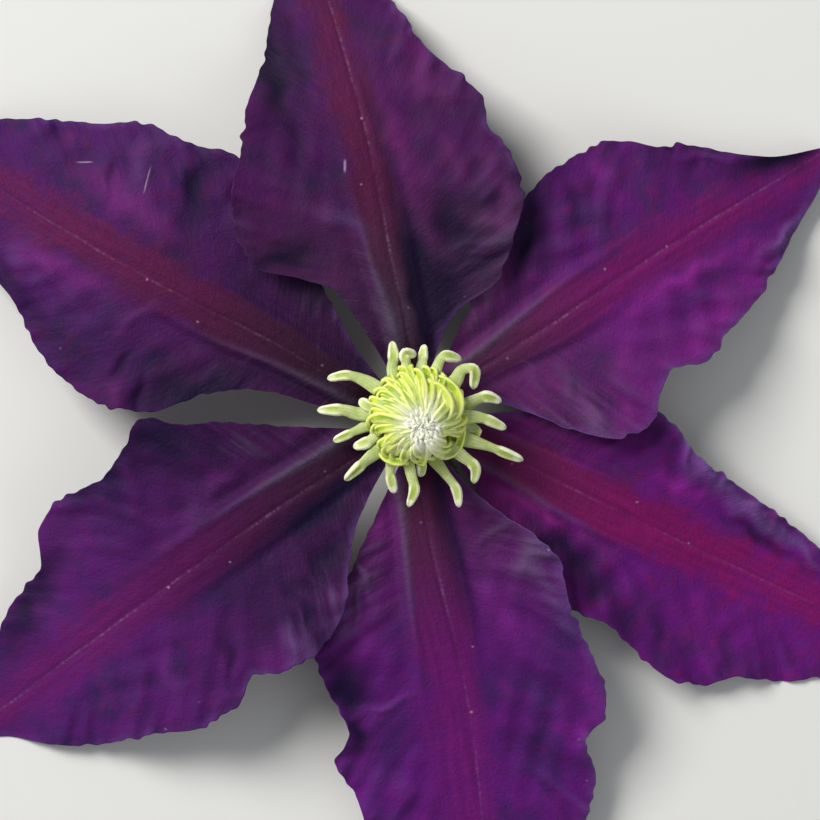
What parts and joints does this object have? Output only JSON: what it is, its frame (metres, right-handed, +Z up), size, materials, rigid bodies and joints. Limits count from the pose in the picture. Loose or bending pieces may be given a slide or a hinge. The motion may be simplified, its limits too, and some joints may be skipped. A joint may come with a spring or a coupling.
{
  "type": "clematis flower",
  "caption": "Open large-flowered clematis bloom lying face up: wavy purple tepals with a crimson bar, pale green stamens, silky styles and a short cut stalk.",
  "frame": {"origin": "bottom centre of the bloom's box, on the surface that it lies on; the flower's own axis stands 1.7 mm along +X and 2.0 mm along +Y from it", "axes": "+Z up along the flower's axis, towards the face; +Y towards the top tepal of the picture, +X to its right"},
  "size_m": [0.115, 0.1195, 0.0179],
  "materials": {
    "tepal": "velvety, dark violet with a crimson bar",
    "stamen": "soft matte, pale yellow-green",
    "style": "silky white",
    "stalk": "downy green"
  },
  "bodies": {
    "root": {"tepal_1": "tepal", "tepal_2": "tepal", "tepal_3": "tepal", "tepal_4": "tepal", "tepal_5": "tepal", "tepal_6": "tepal", "stamens": "stamen", "pistil": "style", "stalk": "stalk"}
  },
  "joints": []
}
